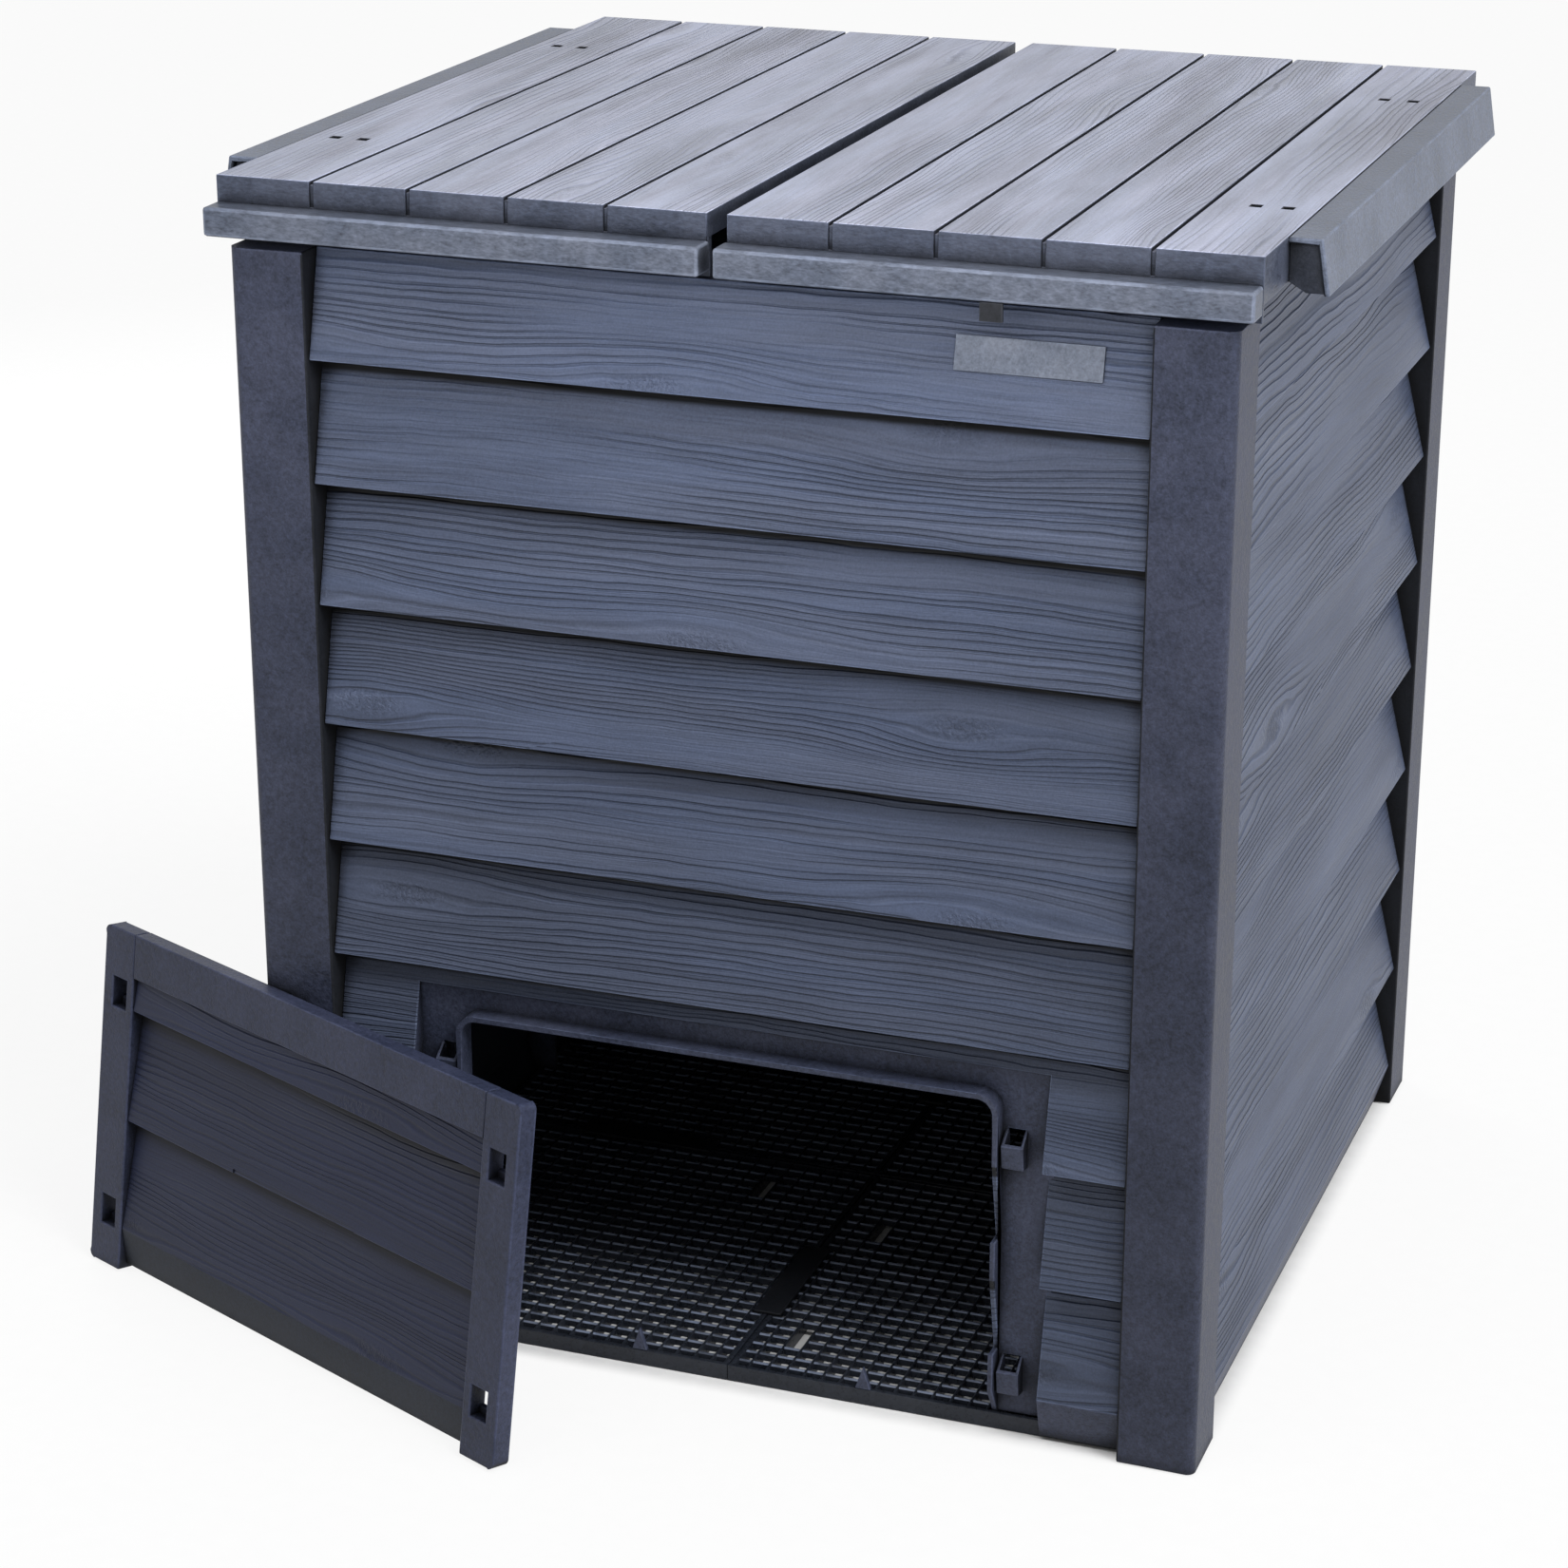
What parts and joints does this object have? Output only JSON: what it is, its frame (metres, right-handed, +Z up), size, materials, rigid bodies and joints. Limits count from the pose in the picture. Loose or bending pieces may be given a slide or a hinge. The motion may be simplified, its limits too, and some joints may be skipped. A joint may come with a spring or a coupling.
{
  "type": "compost bin",
  "caption": "Square slatted plastic compost bin with corner posts, a two-leaf hinged plank lid, a floor grid and a lift-off door leaning beside its low front opening.",
  "frame": {"origin": "middle of the floor grid's underside, on the ground, midway between the four posts", "axes": "+Z up, -Y towards the front with the door opening, +X to the right seen from the front"},
  "size_m": [0.9423, 0.9006, 0.877],
  "materials": {
    "wall": "wood-grain moulded",
    "post": "fine moulded grain",
    "lid": "wood-grain moulded",
    "door": "wood-grain moulded",
    "grid": "matt",
    "hinge": "matt",
    "trim": "satin"
  },
  "bodies": {
    "bin": {"badge_plate": "trim", "floor_back_left": "grid", "floor_back_right": "grid", "floor_clip_back": "grid", "floor_clip_front": "grid", "floor_clip_left": "grid", "floor_clip_right": "grid", "floor_front_left": "grid", "floor_front_right": "grid", "floor_tab_left": "grid", "floor_tab_right": "grid", "hinge_bracket_left_back": "hinge", "hinge_bracket_left_front": "hinge", "hinge_bracket_right_back": "hinge", "hinge_bracket_right_front": "hinge", "hinge_pin_left_back": "hinge", "hinge_pin_left_front": "hinge", "hinge_pin_right_back": "hinge", "hinge_pin_right_front": "hinge", "hook_lower_left": "wall", "hook_lower_right": "wall", "hook_upper_left": "wall", "hook_upper_right": "wall", "panel_back": "wall", "panel_front": "wall", "panel_left": "wall", "panel_right": "wall", "post_back_left": "post", "post_back_right": "post", "post_front_left": "post", "post_front_right": "post"},
    "right_lid": {"hinge_strap_right_back": "hinge", "hinge_strap_right_front": "hinge", "lid_catch": "trim", "lid_deck_right": "lid", "lid_fascia_right_back": "lid", "lid_fascia_right_front": "lid", "lid_skirt_right": "lid"},
    "left_lid": {"hinge_strap_left_back": "hinge", "hinge_strap_left_front": "hinge", "lid_deck_left": "lid", "lid_fascia_left_back": "lid", "lid_fascia_left_front": "lid", "lid_skirt_left": "lid"},
    "door": {"door_panel": "door", "door_stile_left": "door", "door_stile_right": "door"}
  },
  "joints": [
    {"name": "right_lid_hinge", "type": "hinge", "parent": "bin", "child": "right_lid", "pos_m": [0.383, 0, 0.852], "axis": [0, 1, 0], "range_deg": [0, 92]},
    {"name": "left_lid_hinge", "type": "hinge", "parent": "bin", "child": "left_lid", "pos_m": [-0.383, 0, 0.852], "axis": [0, -1, 0], "range_deg": [0, 92]},
    {"name": "door_lift", "type": "slide", "parent": "bin", "child": "door", "axis": [0, 0, 1], "range_m": [0, 0.4]}
  ]
}
